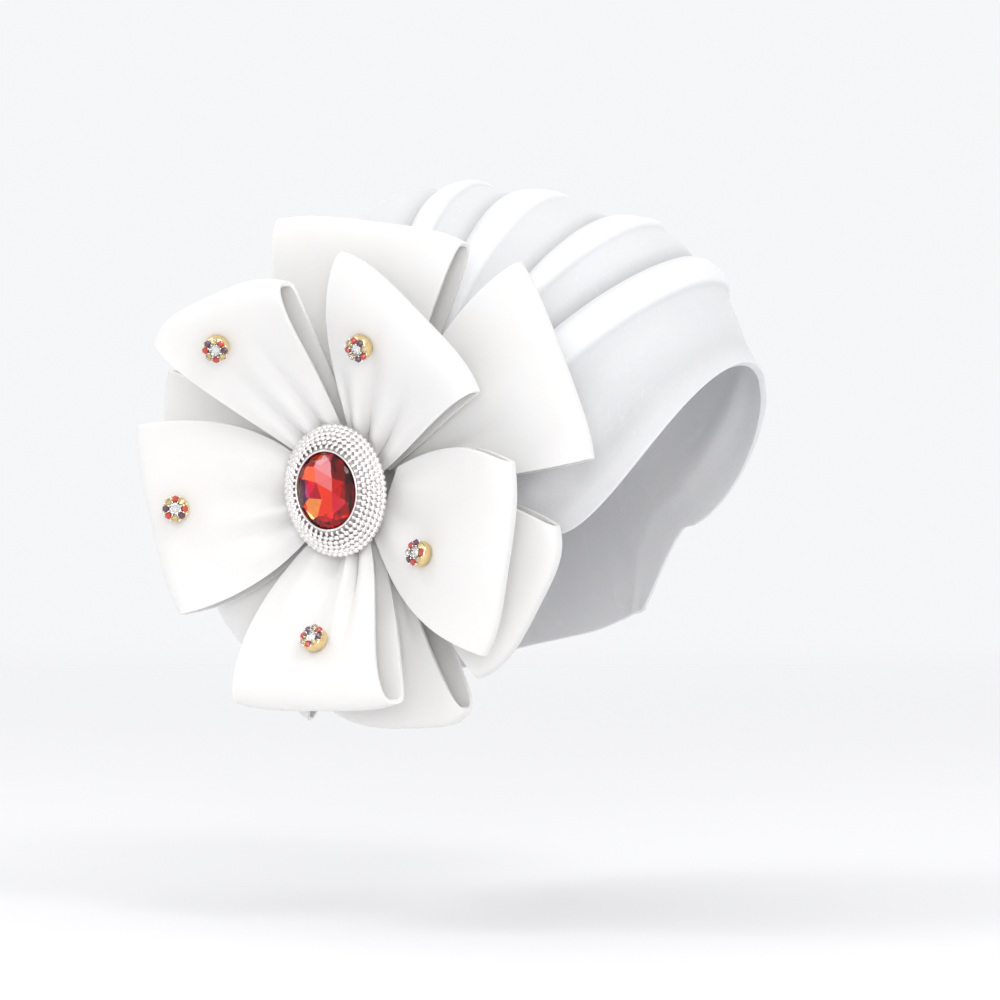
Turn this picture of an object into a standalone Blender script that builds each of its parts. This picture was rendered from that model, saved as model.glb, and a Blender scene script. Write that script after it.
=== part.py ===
"""Flower turban cap: a pleated cloth cap with a large flower of cloth loops, an oval brooch and five studs.

Lengths in the tables are millimetres. +Z is up, the brow is towards -Y and the flower is on the -X side. The origin
is the inside top of the crown, which rests on the top of the head that wears the cap. The tables are measured from
the middle of the cap on a level datum plane, and SEAT is where the origin lies in them.
"""

import math

import bmesh
import bpy
import numpy as np
from mathutils import Matrix, Vector

MM = 0.001

# Cap
SEAT = (0.0, 40.0, 146.7)
CAP_WALL = 1.8
PLEAT_STEPS = (0.0, 0.09, 0.19, 0.33, 0.42, 0.70)
PLEAT_SHAPE = (0.0, 0.78, 1.0, 0.97, 0.64, 0.36)
LAST_STEPS = (0.0, 0.14, 0.34, 0.58, 0.80, 0.93)
LAST_SHAPE = (0.0, 0.42, 0.72, 0.93, 1.0, 0.72)
FRONT_STEPS = (0.0, 0.07, 0.15, 0.26, 0.35, 0.50, 0.66, 0.80, 0.92)
FRONT_SHAPE = (0.0, 0.80, 1.0, 0.92, 0.66, 0.40, 0.22, 0.10, 0.16)
WALL_COLUMNS = 3
CROWN_COLUMNS = 7
PLEAT_FADE = (8.0, 34.0)

# Each row is an arch over the head from one side hem to the other, front to back: where it starts at the side hem,
# where it passes the temple, where it crosses the middle, how full its shoulder is forwards and upwards (less is
# fuller), and the height of the pleat whose crease lies on it. Heights are above the datum plane.
ARCH_COLUMNS = (
    "side_x", "side_y", "side_z", "temple_x", "temple_y", "temple_z", "mid_y", "mid_z", "full_y", "full_z", "pleat",
)
ARCHES = {
    "brow_hem": (66.0, -22.0, -30.0, 73.0, -38.0, 6.0, -93.0, 76.6, 0.66, 1.06, 0.0),
    "crease_5": (70.0, -2.0, -38.0, 79.0, 10.0, 29.0, -69.0, 120.0, 1.04, 0.74, 4.8),
    "crease_4": (70.5, 8.0, -41.0, 80.0, 18.0, 31.0, -35.0, 136.8, 1.0, 0.78, 5.0),
    "crease_3": (70.5, 17.0, -43.0, 80.0, 26.0, 30.0, 8.0, 148.5, 0.94, 0.86, 3.8),
    "crease_2": (70.0, 26.0, -45.0, 80.0, 34.0, 30.0, 40.0, 150.2, 0.94, 0.88, 4.8),
    "crease_1": (69.0, 35.0, -47.0, 79.5, 42.0, 27.0, 75.0, 144.0, 0.94, 0.92, 4.2),
    "back_crown": (68.0, 42.0, -49.0, 78.0, 48.0, 22.0, 106.0, 118.0, 0.94, 0.96, 0.0),
    "back_upper": (66.0, 48.0, -51.0, 76.0, 54.0, 14.0, 122.0, 78.0, 0.94, 0.96, 0.0),
    "back_middle": (63.0, 54.0, -53.0, 73.0, 58.0, 2.0, 125.0, 28.0, 0.94, 0.96, 0.0),
    "back_lower": (60.0, 58.0, -55.0, 66.0, 62.0, -18.0, 114.0, -22.0, 0.94, 0.96, 0.0),
    "nape_hem": (55.0, 61.0, -57.0, 57.0, 66.0, -50.0, 96.0, -58.0, 0.96, 0.98, 0.0),
}
BACK_ROWS = 2

# Flower
FLOWER_CENTRE = (-94.9, 42.6, 22.7)
CLOTH = 1.8
PETAL_LENGTH_STEPS = 14
PETAL_WIDTH_STEPS = 8
ROOT_GAP = 2.2

# Each row is a strip of cloth folded over into a loop, seen along the flower's axis. Angles are counted from the
# brow side upwards. The columns: the loop's direction and reach; for its clockwise and its other side the angle to
# the neighbour at the root, the half width at the fold and how soon that width is reached; how far the fold is
# turned from square; how much its corners draw back; how far its end is raised; half its opening; how much wider the
# back layer is, on the clockwise side if less than 0; its base height; and the depth of its gathers.
PETAL_COLUMNS = (
    "direction", "reach", "sector_cw", "sector_ccw", "half_cw", "half_ccw", "widen_cw", "widen_ccw", "turn", "bow",
    "raise", "puff", "back_wider", "base", "gather",
)
FRONT_ROOT = 16.0
BACK_ROOT = 18.0
PETALS = {
    "petal_front_1": (120.7, 92.0, 29.0, 24.0, 29.5, 29.3, 1.2, 1.3, 9.0, 7.5, 36.0, 7.5, -5.0, -0.45, 0.9),
    "petal_front_2": (60.3, 81.5, 28.5, 29.5, 35.5, 43.0, 1.1, 1.5, 14.0, 5.0, 22.0, 7.5, 0.0, -0.45, 1.4),
    "petal_front_3": (189.3, 79.0, 42.0, 33.0, 41.2, 38.0, 2.8, 2.2, -5.0, 4.0, 25.0, 7.5, 0.0, -0.05, 1.2),
    "petal_front_4": (-19.7, 82.0, 41.5, 49.5, 37.0, 39.5, 2.8, 3.0, -11.0, 4.0, 22.0, 6.5, 0.0, -0.45, 0.8),
    "petal_front_5": (-88.7, 86.0, 44.0, 25.0, 38.5, 27.0, 3.2, 1.2, 0.0, 3.0, 32.0, 7.5, 9.0, -0.45, 1.4),
    "petal_back_1": (84.5, 110.5, 21.5, 38.0, 37.0, 45.0, 1.2, 2.4, 2.0, 4.0, 8.0, 7.5, -4.0, -10.1, 1.2),
    "petal_back_2": (28.7, 105.5, 27.0, 33.0, 37.0, 47.0, 1.2, 1.7, 7.0, 3.0, 7.0, 6.5, 0.0, -9.9, 1.2),
    "petal_back_3": (-28.8, 92.0, 21.0, 27.0, 37.5, 32.0, 1.1, 2.2, 0.0, 8.0, 8.0, 7.5, 0.0, -9.8, 1.0),
    "petal_back_4": (-72.0, 99.0, 27.0, 21.0, 35.0, 17.0, 1.3, 1.1, 15.0, 7.0, 8.0, 7.5, 7.0, -10.1, 1.0),
    "petal_back_5": (-128.0, 80.5, 32.5, 27.5, 20.0, 41.0, 1.4, 1.1, 10.0, 2.0, 8.0, 6.5, 0.0, -10.1, 1.2),
    "petal_back_6": (165.0, 89.0, 39.0, 32.5, 28.0, 26.0, 1.4, 1.4, -14.0, 2.0, 10.0, 6.5, 0.0, -10.1, 1.2),
}

# Brooch
BROOCH_CENTRE = (-3.4, 1.6)
BROOCH_BASE = 8.4
BROOCH_LEAN = 8.0
BROOCH_HALF = (23.0, 27.6)
BROOCH_SEGMENTS = 32
BEAD_STEP = 0.45

# The setting's section from the middle of its back, over the rim and the bezel, to the middle of the seat: share of
# the half widths, height, and how far its beads stand up.
SETTING_SECTION = (
    (0.00, 0.0, 0.0), (0.90, 0.0, 0.0), (1.00, 1.4, 0.0), (0.985, 3.0, 1.0), (0.90, 4.8, -1.0), (0.82, 6.7, 1.0),
    (0.74, 7.9, -1.0), (0.665, 9.2, 1.0), (0.61, 10.1, -0.6), (0.575, 9.2, 0.0), (0.565, 6.6, 0.0), (0.00, 6.6, 0.0),
)

# The cut stone: share of its half widths, height above the girdle, corners and whether they are staggered.
STONE_HALF = (12.0, 14.9)
STONE_GIRDLE = 9.3
STONE_RINGS = (
    (0.58, 3.6, 8, 0.0), (0.84, 2.3, 8, 0.5), (1.00, 0.3, 16, 0.0), (1.00, -0.3, 16, 0.0), (0.62, -2.2, 8, 0.5),
)

# Studs: the petal each one sits on, its distance from the flower's centre and its offset across the petal.
STUD_SEATS = {
    1: ("petal_front_1", 74.0, 6.0),
    2: ("petal_front_2", 60.0, 17.0),
    3: ("petal_front_3", 66.2, -4.4),
    4: ("petal_front_4", 44.5, -9.8),
    5: ("petal_front_5", 60.0, -3.8),
}
STUD_LIFT = 0.52
STUD_SEGMENTS = 12
STUD_SECTION = (
    (0.0, 0.0), (4.9, 0.0), (5.3, 0.6), (5.3, 3.8), (5.0, 4.6), (3.6, 5.3), (2.75, 4.9), (2.75, 3.3), (0.0, 3.3),
)
STUD_STONE_RINGS = ((1.25, 5.7, 8, 0.0), (2.35, 4.7, 8, 0.5), (2.35, 4.4, 8, 0.5), (1.2, 3.6, 8, 0.0))

MATERIALS = {
    "cap_cloth": ((0.80, 0.81, 0.84), 0.85, 0.0),
    "petal_cloth": ((0.86, 0.85, 0.84), 0.80, 0.0),
    "silver": ((0.86, 0.85, 0.85), 0.25, 1.0),
    "gold": ((0.83, 0.62, 0.26), 0.28, 1.0),
    "red_stone": ((0.55, 0.02, 0.02), 0.05, 0.0),
    "clear_stone": ((0.85, 0.87, 0.90), 0.05, 0.0),
}


def smooth(low, high, value):
    share = min(1.0, max(0.0, (value - low) / (high - low)))
    return share * share * (3.0 - 2.0 * share)


def steady_slope(before, here, after):
    """The curve's slope at a row, no steeper than lets it pass from row to row without turning back."""
    limit = 2.0 * np.minimum(np.abs(here - before), np.abs(after - here))
    return np.clip((after - before) / 2.0, -limit, limit)


def between(rows, place):
    """A table's columns at a place between its rows, by a curve through the rows."""
    last = len(rows) - 1
    k = min(int(place), last - 1)
    t = place - k
    before = rows[k - 1] if k > 0 else 2.0 * rows[0] - rows[1]
    after = rows[k + 2] if k < last - 1 else 2.0 * rows[last] - rows[last - 1]
    slope_0 = steady_slope(before, rows[k], rows[k + 1])
    slope_1 = steady_slope(rows[k], rows[k + 1], after)
    return (
        (2.0 * t ** 3 - 3.0 * t ** 2 + 1.0) * rows[k]
        + (t ** 3 - 2.0 * t ** 2 + t) * slope_0
        + (3.0 * t ** 2 - 2.0 * t ** 3) * rows[k + 1]
        + (t ** 3 - t ** 2) * slope_1
    )


def cap_rows():
    """The arches' places in the table, with the pleat height at each."""
    heights = [row[-1] for row in ARCHES.values()]
    rows = []
    for step, share in zip(reversed(FRONT_STEPS), reversed(FRONT_SHAPE)):
        rows.append((1.0 - step, share * heights[1]))
    rows.insert(0, (0.0, 1.1))
    for k in range(2, 6):
        steps, shape = (PLEAT_STEPS, PLEAT_SHAPE) if k < 5 else (LAST_STEPS, LAST_SHAPE)
        for step, share in zip(reversed(steps), reversed(shape)):
            rows.append((k - step, share * heights[k]))
    last = len(ARCHES) - 1
    for n in range(1, (last - 5) * BACK_ROWS + 1):
        rows.append((5.0 + n / BACK_ROWS, 0.0))
    return rows


def arch_point(row, column):
    """A point of one arch, from the side hem up past the temple and over to the middle, and its angle up the side."""
    p = dict(zip(ARCH_COLUMNS, row))
    side = np.array((p["side_x"], p["side_y"], p["side_z"]))
    temple = np.array((p["temple_x"], p["temple_y"], p["temple_z"]))
    middle = np.array((0.0, p["mid_y"], p["mid_z"]))
    if column <= WALL_COLUMNS:
        t = column / WALL_COLUMNS
        rise = middle - temple
        rise[0] = 0.0
        rise *= np.linalg.norm(temple - side) / np.linalg.norm(rise)
        away = temple - side
        point = (
            (2.0 * t ** 3 - 3.0 * t ** 2 + 1.0) * side
            + (t ** 3 - 2.0 * t ** 2 + t) * away
            + (3.0 * t ** 2 - 2.0 * t ** 3) * temple
            + (t ** 3 - t ** 2) * rise
        )
        return point, 0.0
    turn = math.radians(90.0 * (column - WALL_COLUMNS) / CROWN_COLUMNS)
    ahead = math.sin(turn) ** p["full_y"]
    up = math.sin(turn) ** p["full_z"]
    x = temple[0] * abs(math.cos(turn))
    y = temple[1] + (middle[1] - temple[1]) * ahead
    z = temple[2] + (middle[2] - temple[2]) * up
    return np.array((x, y, z)), math.degrees(turn)


def material(name):
    made = bpy.data.materials.get(name)
    if made is None:
        colour, roughness, metallic = MATERIALS[name]
        made = bpy.data.materials.new(name)
        made.use_nodes = True
        shader = made.node_tree.nodes["Principled BSDF"]
        shader.inputs["Base Color"].default_value = (*colour, 1.0)
        shader.inputs["Roughness"].default_value = roughness
        shader.inputs["Metallic"].default_value = metallic
    return made


def add_object(name, bm, slot, collection):
    mesh = bpy.data.meshes.new(name)
    bm.to_mesh(mesh)
    bm.free()
    mesh.materials.append(material(slot))
    made = bpy.data.objects.new(name, mesh)
    collection.objects.link(made)
    return made


def solidify(made, thickness, offset):
    wall = made.modifiers.new("wall", "SOLIDIFY")
    wall.thickness = thickness * MM
    wall.offset = offset
    wall.use_even_offset = True
    wall.use_quality_normals = True
    return wall


def mapped_grid(rows, columns, points):
    """A grid whose corners are moved to points[row][column]."""
    bm = bmesh.new()
    bmesh.ops.create_grid(bm, x_segments=rows, y_segments=columns, size=1.0)
    for vert in bm.verts:
        i = round((vert.co.x + 1.0) / 2.0 * rows)
        j = round((vert.co.y + 1.0) / 2.0 * columns)
        vert.co = Vector(points[i][j]) * MM
    return bm


def build_cap(collection):
    table = [np.array(row[:-1]) for row in ARCHES.values()]
    rows = cap_rows()
    half = WALL_COLUMNS + CROWN_COLUMNS
    base = []
    fade = []
    for place, _height in rows:
        row = between(table, place)
        right = [arch_point(row, column) for column in range(half + 1)]
        line = [np.array((-p[0], p[1], p[2])) for p, _turn in right]
        line += [p for p, _turn in reversed(right[:-1])]
        turns = [turn for _p, turn in right]
        turns += reversed(turns[:-1])
        base.append(line)
        fade.append([smooth(*PLEAT_FADE, turn) for turn in turns])
    base = np.array(base)
    along = np.gradient(base, axis=0)
    across = np.gradient(base, axis=1)
    normal = np.cross(across, along)
    normal /= np.linalg.norm(normal, axis=2, keepdims=True)
    inside = np.array((0.0, 25.0, 30.0))
    if np.sum(normal * (base - inside)) < 0.0:
        normal = -normal
    heights = np.array([height for _place, height in rows])
    points = base + normal * (heights[:, None] * np.array(fade))[:, :, None]
    points -= np.array(SEAT)
    bm = mapped_grid(len(rows) - 1, 2 * half, points)
    bm.normal_update()
    middle = Vector(inside - np.array(SEAT)) * MM
    outward = sum(face.normal.dot(face.calc_center_median() - middle) for face in bm.faces)
    if outward < 0.0:
        bmesh.ops.reverse_faces(bm, faces=bm.faces)
    made = add_object("cap_shell", bm, "cap_cloth", collection)
    solidify(made, CAP_WALL, -1.0)
    return made


def flower_axes():
    """The flower's own axes: towards the brow, up and outwards from the head."""
    return Vector((0.0, -1.0, 0.0)), Vector((0.0, 0.0, 1.0)), Vector((-1.0, 0.0, 0.0))


def from_flower(ahead, up, out):
    """A point given in the flower's own axes, in millimetres."""
    one, two, three = flower_axes()
    centre = Vector(FLOWER_CENTRE) - Vector(SEAT)
    return centre + one * ahead + two * up + three * out


def petal_half(p, reach, across):
    """Half the width of a loop's front layer on the side that across is on."""
    side = "ccw" if across > 0.0 else "cw"
    root = 0.95 * p["root"] * math.tan(math.radians(p["sector_" + side]))
    return root + (p["half_" + side] - root) * (1.0 - (1.0 - reach) ** p["widen_" + side])


def petal_row(name):
    p = dict(zip(PETAL_COLUMNS, PETALS[name]))
    p["root"] = FRONT_ROOT if name.startswith("petal_front") else BACK_ROOT
    return p


def petal_point(p, turn, across):
    """A point of a loop's middle surface: turn goes from the front root (0) round the fold to the back root (180)."""
    angle = math.radians(turn)
    reach = min(1.0, math.sin(angle))
    front = math.cos(angle)
    side = math.copysign(abs(front) ** 0.55, front)
    half = petal_half(p, reach, across)
    if across * p["back_wider"] > 0.0:
        half += abs(p["back_wider"]) * reach * (1.0 - side) / 2.0
    offset = across * half
    away = p["root"] + (p["reach"] - p["root"]) * reach
    away += offset * math.tan(math.radians(p["turn"])) * reach ** 2
    away -= p["bow"] * across ** 4 * reach ** 2
    height = p["base"] + p["raise"] * reach ** 2 * (3.0 - 2.0 * reach)
    height += side * (ROOT_GAP + p["puff"] * 1.15 * reach ** 0.8 - ROOT_GAP * reach)
    height += p["gather"] * (1.0 - reach) ** 1.3 * math.cos(2.0 * math.pi * across)
    direction = math.radians(p["direction"])
    ahead = away * math.cos(direction) - offset * math.sin(direction)
    up = away * math.sin(direction) + offset * math.cos(direction)
    return from_flower(ahead, up, height)


def even_turns(p, steps):
    """Turns that divide the middle line of a loop into shares that are shorter round the fold."""
    fine = np.linspace(0.0, 180.0, 361)
    line = np.array([petal_point(p, turn, 0.0) for turn in fine])
    gaps = np.linalg.norm(np.diff(line, axis=0), axis=1)
    weight = 1.0 + 5.0 * np.exp(-((fine[:-1] - 89.75) / 16.0) ** 2)
    walked = np.concatenate(((0.0,), np.cumsum(gaps * weight)))
    return np.interp(np.linspace(0.0, walked[-1], steps + 1), walked, fine)


def build_petal(name, collection):
    p = petal_row(name)
    shares = [2.0 * j / PETAL_WIDTH_STEPS - 1.0 for j in range(PETAL_WIDTH_STEPS + 1)]
    points = [[petal_point(p, turn, share) for share in shares] for turn in even_turns(p, PETAL_LENGTH_STEPS)]
    bm = mapped_grid(PETAL_LENGTH_STEPS, PETAL_WIDTH_STEPS, points)
    made = add_object(name, bm, "petal_cloth", collection)
    solidify(made, CLOTH, 0.0)
    return made


def face_out(bm):
    bmesh.ops.recalc_face_normals(bm, faces=bm.faces)
    if bm.calc_volume(signed=True) < 0.0:
        bmesh.ops.reverse_faces(bm, faces=bm.faces)


def turned(section, segments, place):
    """A closed body turned from a section that starts and ends on its axis; place(x, y, z, ring, step) moves it."""
    bm = bmesh.new()
    verts = [bm.verts.new((r, 0.0, z)) for r, z in section]
    edges = [bm.edges.new(pair) for pair in zip(verts, verts[1:])]
    bmesh.ops.spin(
        bm, geom=verts + edges, cent=(0.0, 0.0, 0.0), axis=(0.0, 0.0, 1.0), angle=math.tau, steps=segments,
        use_merge=True, use_duplicate=False,
    )
    bmesh.ops.remove_doubles(bm, verts=bm.verts, dist=1e-5)
    for vert in bm.verts:
        x, y, z = vert.co
        ring = min(range(len(section)), key=lambda k: abs(section[k][0] - math.hypot(x, y)) + abs(section[k][1] - z))
        step = round(math.atan2(y, x) / math.tau * segments)
        vert.co = place(x, y, z, ring, step) * MM
    face_out(bm)
    return bm


def cut_stone(rings, half, place):
    """A faceted stone: the hull of its rings of corners."""
    bm = bmesh.new()
    for share, height, count, stagger in rings:
        for k in range(count):
            angle = math.tau * (k + stagger) / count
            bm.verts.new(place(share * half[0] * math.cos(angle), share * half[1] * math.sin(angle), height) * MM)
    bmesh.ops.convex_hull(bm, input=bm.verts)
    face_out(bm)
    return bm


def build_brooch(collection):
    lean = math.radians(BROOCH_LEAN)

    def on_flower(x, y, z):
        ahead = BROOCH_CENTRE[0] + x * math.cos(lean) - y * math.sin(lean)
        up = BROOCH_CENTRE[1] + x * math.sin(lean) + y * math.cos(lean)
        return from_flower(ahead, up, BROOCH_BASE + z)

    def setting_place(x, y, z, ring, step):
        bead = SETTING_SECTION[ring][2] * BEAD_STEP
        bead *= 1.0 if (step + ring // 2) % 2 else -1.0
        return on_flower(x * BROOCH_HALF[0], y * BROOCH_HALF[1], z + bead)

    section = [(share, height) for share, height, _bead in SETTING_SECTION]
    bm = turned(section, BROOCH_SEGMENTS, setting_place)
    add_object("brooch_setting", bm, "silver", collection)
    bm = cut_stone(STONE_RINGS, STONE_HALF, lambda x, y, z: on_flower(x, y, z + STONE_GIRDLE))
    add_object("brooch_stone", bm, "red_stone", collection)


def stud_frame(p, along, across):
    """Seat and outward normal of a stud on the front layer of a loop."""
    low, high = 0.0, 89.0
    direction = math.radians(p["direction"])
    away = Vector((0.0, -math.cos(direction), math.sin(direction)))
    centre = from_flower(0.0, 0.0, 0.0)
    share = 0.0
    for _round in range(40):
        turn = (low + high) / 2.0
        reach = math.sin(math.radians(turn))
        share = across / petal_half(p, reach, across)
        if (petal_point(p, turn, share) - centre).dot(away) < along:
            low = turn
        else:
            high = turn
    seat = petal_point(p, turn, share)
    step_1 = petal_point(p, turn + 0.5, share) - seat
    step_2 = petal_point(p, turn, share + 0.02) - seat
    normal = step_1.cross(step_2).normalized()
    if normal.x > 0.0:
        normal = -normal
    return seat, normal


def build_studs(collection):
    for number, (name, along, across) in STUD_SEATS.items():
        seat, normal = stud_frame(petal_row(name), along, across)
        turn = normal.to_track_quat("Z", "Y").to_matrix().to_4x4()
        foot = seat + normal * (CLOTH / 2.0 + STUD_LIFT)
        frame = Matrix.Translation(foot) @ turn

        def cup_place(x, y, z, _ring, _step, frame=frame):
            return frame @ Vector((x, y, z))

        bm = turned(STUD_SECTION, STUD_SEGMENTS, cup_place)
        add_object(f"stud_cup_{number}", bm, "gold", collection)
        bm = cut_stone(STUD_STONE_RINGS, (1.0, 1.0), lambda x, y, z, frame=frame: frame @ Vector((x, y, z)))
        add_object(f"stud_stone_{number}", bm, "clear_stone", collection)


def main():
    for old in list(bpy.data.objects):
        bpy.data.objects.remove(old, do_unlink=True)
    collection = bpy.data.collections.new("flower_turban_cap")
    bpy.context.scene.collection.children.link(collection)
    build_cap(collection)
    for name in PETALS:
        build_petal(name, collection)
    build_brooch(collection)
    build_studs(collection)


if __name__ == "__main__":
    main()
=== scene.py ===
"""Flower turban cap, dressed: pleated cap cloth, gathered loops, a beaded brooch with a cut stone and five studs.

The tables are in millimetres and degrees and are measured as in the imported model's own source: from the middle of the
cap on a level datum plane, with +Z up, the brow towards -Y and the flower on the -X side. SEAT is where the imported
model's origin lies in them.
"""

import math

import bmesh
import bpy
import numpy as np
from bpy.props import FloatProperty, FloatVectorProperty, IntProperty, PointerProperty
from mathutils import Matrix, Vector, noise


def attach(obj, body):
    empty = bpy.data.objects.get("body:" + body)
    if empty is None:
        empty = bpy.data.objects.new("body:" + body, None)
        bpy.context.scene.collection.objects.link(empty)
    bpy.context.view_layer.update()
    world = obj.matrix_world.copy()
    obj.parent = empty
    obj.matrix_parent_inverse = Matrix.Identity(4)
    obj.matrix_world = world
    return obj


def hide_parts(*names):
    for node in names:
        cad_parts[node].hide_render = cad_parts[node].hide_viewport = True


bl_info = {
    "name": "Flower Turban Cap",
    "version": (1, 0, 0),
    "blender": (4, 5, 0),
    "location": "3D View > Sidebar > Turban Cap",
    "description": "Dresses the packed turban cap: pleated cloth, flower loops, brooch, studs and a studio",
    "category": "Add Mesh",
}

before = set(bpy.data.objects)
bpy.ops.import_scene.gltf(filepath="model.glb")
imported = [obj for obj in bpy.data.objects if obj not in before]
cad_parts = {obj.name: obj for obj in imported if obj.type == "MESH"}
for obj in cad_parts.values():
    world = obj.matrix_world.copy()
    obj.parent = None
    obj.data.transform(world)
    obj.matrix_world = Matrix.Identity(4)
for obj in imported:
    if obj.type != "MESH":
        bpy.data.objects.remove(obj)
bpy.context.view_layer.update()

MM = 0.001
SEAT = np.array((0.0, 40.0, 146.7))

# Each row is an arch over the crown from one side hem to the other, front to back: where it starts at the side hem,
# where it passes the temple, where it crosses the middle, how full its shoulder is forwards and upwards (less is
# fuller), and the height of the pleat whose crease lies on it. Heights are above the datum plane.
ARCH_COLUMNS = (
    "side_x", "side_y", "side_z", "temple_x", "temple_y", "temple_z", "mid_y", "mid_z", "full_y", "full_z", "pleat",
)
ARCHES = {
    "brow_hem": (66.0, -22.0, -30.0, 73.0, -38.0, 6.0, -93.0, 76.6, 0.66, 1.06, 0.0),
    "crease_5": (70.0, -2.0, -38.0, 79.0, 10.0, 29.0, -69.0, 120.0, 1.04, 0.74, 4.8),
    "crease_4": (70.5, 8.0, -41.0, 80.0, 18.0, 31.0, -35.0, 136.8, 1.0, 0.78, 5.0),
    "crease_3": (70.5, 17.0, -43.0, 80.0, 26.0, 30.0, 8.0, 148.5, 0.94, 0.86, 3.8),
    "crease_2": (70.0, 26.0, -45.0, 80.0, 34.0, 30.0, 40.0, 150.2, 0.94, 0.88, 4.8),
    "crease_1": (69.0, 35.0, -47.0, 79.5, 42.0, 27.0, 75.0, 144.0, 0.94, 0.92, 4.2),
    "back_crown": (68.0, 42.0, -49.0, 78.0, 48.0, 22.0, 106.0, 118.0, 0.94, 0.96, 0.0),
    "back_upper": (66.0, 48.0, -51.0, 76.0, 54.0, 14.0, 122.0, 78.0, 0.94, 0.96, 0.0),
    "back_middle": (63.0, 54.0, -53.0, 73.0, 58.0, 2.0, 125.0, 28.0, 0.94, 0.96, 0.0),
    "back_lower": (60.0, 58.0, -55.0, 66.0, 62.0, -18.0, 114.0, -22.0, 0.94, 0.96, 0.0),
    "nape_hem": (55.0, 61.0, -57.0, 57.0, 66.0, -50.0, 96.0, -58.0, 0.96, 0.98, 0.0),
}
LAST_CREASE = 5
WALL_STEPS = 16
CROWN_STEPS = 70
ROW_STEP = 2.4
ARCH_SPACING = 36.0
# Degrees up the side between which the pleats rise from nothing to their full height.
PLEAT_FADE = (8.0, 34.0)

# A pleat's section, from the panel in front of it back to its crease, as shares of the way from crease to crease: the
# even place of each row, its place where the pleat is full and its lip overhangs the panel behind, and its height.
FRONT_EDGE = (
    (-0.96, -0.96, 0.26), (-0.90, -0.90, 0.14), (-0.80, -0.80, 0.06), (-0.66, -0.66, 0.16), (-0.50, -0.50, 0.28),
    (-0.40, -0.40, 0.32), (-0.345, -0.345, 0.38), (-0.312, -0.312, 0.54), (-0.288, -0.288, 0.82),
    (-0.262, -0.262, 1.00), (-0.22, -0.22, 1.06), (-0.16, -0.16, 1.01), (-0.11, -0.11, 0.92), (-0.07, -0.055, 0.78),
    (-0.045, -0.012, 0.58), (-0.028, 0.014, 0.38), (-0.016, 0.012, 0.20), (-0.007, -0.008, 0.03), (0.0, -0.02, -0.12),
    (0.012, 0.0, -0.18), (0.06, 0.06, -0.12), (0.15, 0.15, 0.06),
)
PLEAT_EDGE = (
    (-0.72, -0.72, 0.30), (-0.58, -0.58, 0.42), (-0.49, -0.49, 0.50), (-0.44, -0.44, 0.60), (-0.405, -0.405, 0.84),
    (-0.37, -0.37, 1.02), (-0.31, -0.31, 1.08), (-0.24, -0.24, 1.03), (-0.17, -0.17, 0.94), (-0.11, -0.10, 0.83),
    (-0.065, -0.040, 0.66), (-0.040, 0.0, 0.47), (-0.025, 0.018, 0.30), (-0.014, 0.012, 0.13), (-0.006, -0.010, 0.0),
    (0.0, -0.022, -0.12), (0.012, 0.0, -0.18), (0.06, 0.06, -0.12), (0.15, 0.15, 0.06),
)
LAST_EDGE = (
    (-0.76, -0.76, 0.62), (-0.62, -0.62, 0.98), (-0.46, -0.46, 0.92), (-0.30, -0.30, 0.70), (-0.14, -0.14, 0.44),
    (-0.06, -0.055, 0.28), (-0.02, -0.008, 0.14), (-0.008, -0.006, 0.05), (0.0, -0.004, 0.0), (0.02, 0.02, 0.02),
)
BROW_ROLL = 1.1
# Slow waves: degrees to one wave along an arch, waves to one place across the arches, and for the drape its height.
SWAY_TURN, SWAY_PLACE = 16.0, 7.3
DRAPE_TURN, DRAPE_PLACE, DRAPE_HEIGHT = 11.0, 2.2, 0.35
CAP_MIDDLE = (0.0, 25.0, 30.0)
# The cloth is coloured whitest where a pleat lays it double and greyer where it is single, which is partly its one
# layer and partly painted shade, and greyest down in a crease, which is painted shade.
SINGLE_AND_SHADE_TONE = 0.84
CREASE_SHADE_TONE = 0.66
# The shares of a pleat's height between which the colour turns from a crease's painted shade to single cloth, and from
# single to double, and the shares given to the brow's hem and to the plain back.
CREASE_SHADE_SHARES = (-0.14, 0.22)
DOUBLE_SHARES = (0.55, 0.95)
BROW_SHARE = 0.7
BACK_SHARE = 0.4

# Soft folds that the wearing pulls into the cap: place along the arches, degrees up the side, half sizes of both and
# height.
DRAG_COLUMNS = ("place", "turn", "place_half", "turn_half", "height")
DRAGS = (
    (0.27, 30.0, 0.075, 24.0, -2.6),
    (0.46, 36.0, 0.10, 26.0, 1.8),
    (0.12, 26.0, 0.06, 34.0, 1.2),
    (0.60, 20.0, 0.09, 14.0, -1.8),
)

# Flower
FLOWER_CENTRE = np.array((-94.9, 42.6, 22.7))
ROOT_GAP = 2.2
FRONT_ROOT = 16.0
BACK_ROOT = 18.0

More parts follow.
